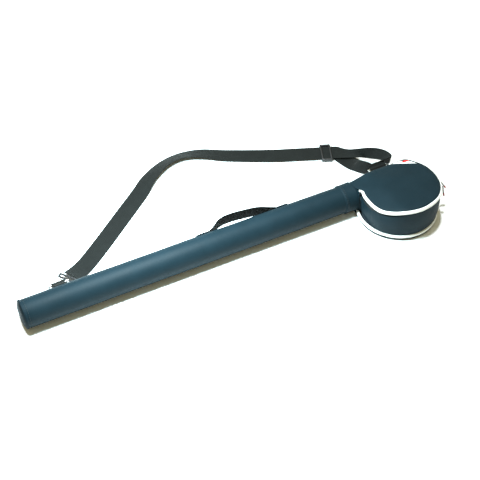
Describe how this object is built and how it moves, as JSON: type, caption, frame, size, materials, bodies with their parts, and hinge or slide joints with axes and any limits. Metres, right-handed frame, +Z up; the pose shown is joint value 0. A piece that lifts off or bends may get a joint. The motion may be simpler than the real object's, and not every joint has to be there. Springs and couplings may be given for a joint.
{
  "type": "rod-and-reel tube case",
  "caption": "Rigid cloth-covered tube case with a round zipped pouch at one end, white piping, a carry handle and a shoulder strap with a snap hook.",
  "frame": {"origin": "on the floor under the centre of the pouch's round front", "axes": "+X from the tube towards the pouch, +Y to the back where the handle and the strap are, +Z up"},
  "size_m": [0.828, 0.4175, 0.0768],
  "materials": {
    "navy_cloth": "woven slate-blue polyester",
    "piping": "off-white covered piping",
    "webbing": "black flat webbing",
    "zip_tape": "black zip tape",
    "zip_coil": "black nylon coil",
    "zip_metal": "black painted zip slider",
    "pull_tip": "dark red moulded pull end",
    "ring_metal": "nickel-plated wire",
    "black_plastic": "black moulded plastic",
    "badge": "plain white patch",
    "badge_mark": "plain red bar",
    "pipe_plastic": "grey rigid plastic pipe",
    "foam": "dark closed-cell foam",
    "lining": "thin dark lining cloth"
  },
  "bodies": {
    "case": {"inner_pipe": "pipe_plastic", "pipe_end_plug": "black_plastic", "end_foam_pad": "foam", "tube_lining": "lining", "tube_sleeve": "navy_cloth", "sleeve_end_disc": "navy_cloth", "end_binding": "navy_cloth", "neck_collar": "navy_cloth", "neck_panel": "navy_cloth", "pouch_wall": "navy_cloth", "wall_padding": "foam", "base_panel": "navy_cloth", "base_pad": "foam", "base_piping": "piping", "zip_tape_lower": "zip_tape", "zip_coil_lower": "zip_coil", "zip_stop_front": "zip_metal", "zip_stop_back": "zip_metal", "lid_hinge_tape": "navy_cloth", "end_ring_tab": "webbing", "pouch_ring_tab": "webbing", "handle_loop": "webbing", "handle_end_left": "webbing", "handle_end_right": "webbing", "handle_patch_left": "navy_cloth", "handle_patch_right": "navy_cloth"},
    "lid": {"lid_panel": "navy_cloth", "lid_padding": "foam", "lid_piping": "piping", "zip_tape_upper": "zip_tape", "zip_coil_upper": "zip_coil", "corner_badge": "badge", "badge_mark": "badge_mark"},
    "front_slider": {"zip_slider_front": "zip_metal"},
    "front_pull": {"zip_pull_front": "black_plastic", "pull_tip_front": "pull_tip"},
    "back_slider": {"zip_slider_back": "zip_metal"},
    "back_pull": {"zip_pull_back": "black_plastic", "pull_tip_back": "pull_tip"},
    "strap": {"shoulder_strap": "webbing", "strap_return": "webbing", "end_ring": "ring_metal", "pouch_ring": "ring_metal", "hook_base_loop": "black_plastic"},
    "hook": {"hook_body": "black_plastic"},
    "gate": {"hook_gate": "black_plastic", "gate_lever": "black_plastic"},
    "strap_slider": {"triglide": "black_plastic"}
  },
  "joints": [
    {"name": "lid_hinge", "type": "hinge", "parent": "case", "child": "lid", "pos_m": [0, 0.067, 0.057], "axis": [-1, 0, 0], "range_deg": [0, 110]},
    {"name": "front_slider_travel", "type": "hinge", "parent": "case", "child": "front_slider", "pos_m": [0, -0.00014, 0.05849], "axis": [0, 0.0906, 0.9959], "range_deg": [-168, 0]},
    {"name": "front_pull_swing", "type": "hinge", "parent": "front_slider", "child": "front_pull", "pos_m": [0.07546, -0.03346, 0.06303], "axis": [-0.4067, -0.9098, 0.0828], "range_deg": [-10, 110]},
    {"name": "back_slider_travel", "type": "hinge", "parent": "case", "child": "back_slider", "pos_m": [-0.02391, 0.00714, 0.05783], "axis": [0, 0.0906, 0.9959], "range_deg": [0, 34]},
    {"name": "back_pull_swing", "type": "hinge", "parent": "back_slider", "child": "back_pull", "pos_m": [0.08094, -0.01683, 0.06152], "axis": [-0.225, -0.9704, 0.0883], "range_deg": [-33, 87]},
    {"name": "strap_swing", "type": "hinge", "parent": "case", "child": "strap", "pos_m": [0, 0.0845, 0.036], "axis": [1, 0, 0], "range_deg": [0, 75]},
    {"name": "hook_swivel", "type": "hinge", "parent": "strap", "child": "hook", "pos_m": [-0.6281, 0.1071, 0.0137], "axis": [-0.7646, -0.5974, 0.2419], "range_deg": [-7, 7]},
    {"name": "gate_hinge", "type": "hinge", "parent": "hook", "child": "gate", "pos_m": [-0.63762, 0.09966, 0.02145], "axis": [0.6157, -0.788, 0], "range_deg": [0, 20], "stiffness_Nm_per_rad": 0.02, "springref_deg": -8.59},
    {"name": "strap_slider_slide", "type": "slide", "parent": "strap", "child": "strap_slider", "axis": [0.9272, -0.3746, 0], "range_m": [-0.055, 0], "deforming": ["strap_return"]}
  ]
}
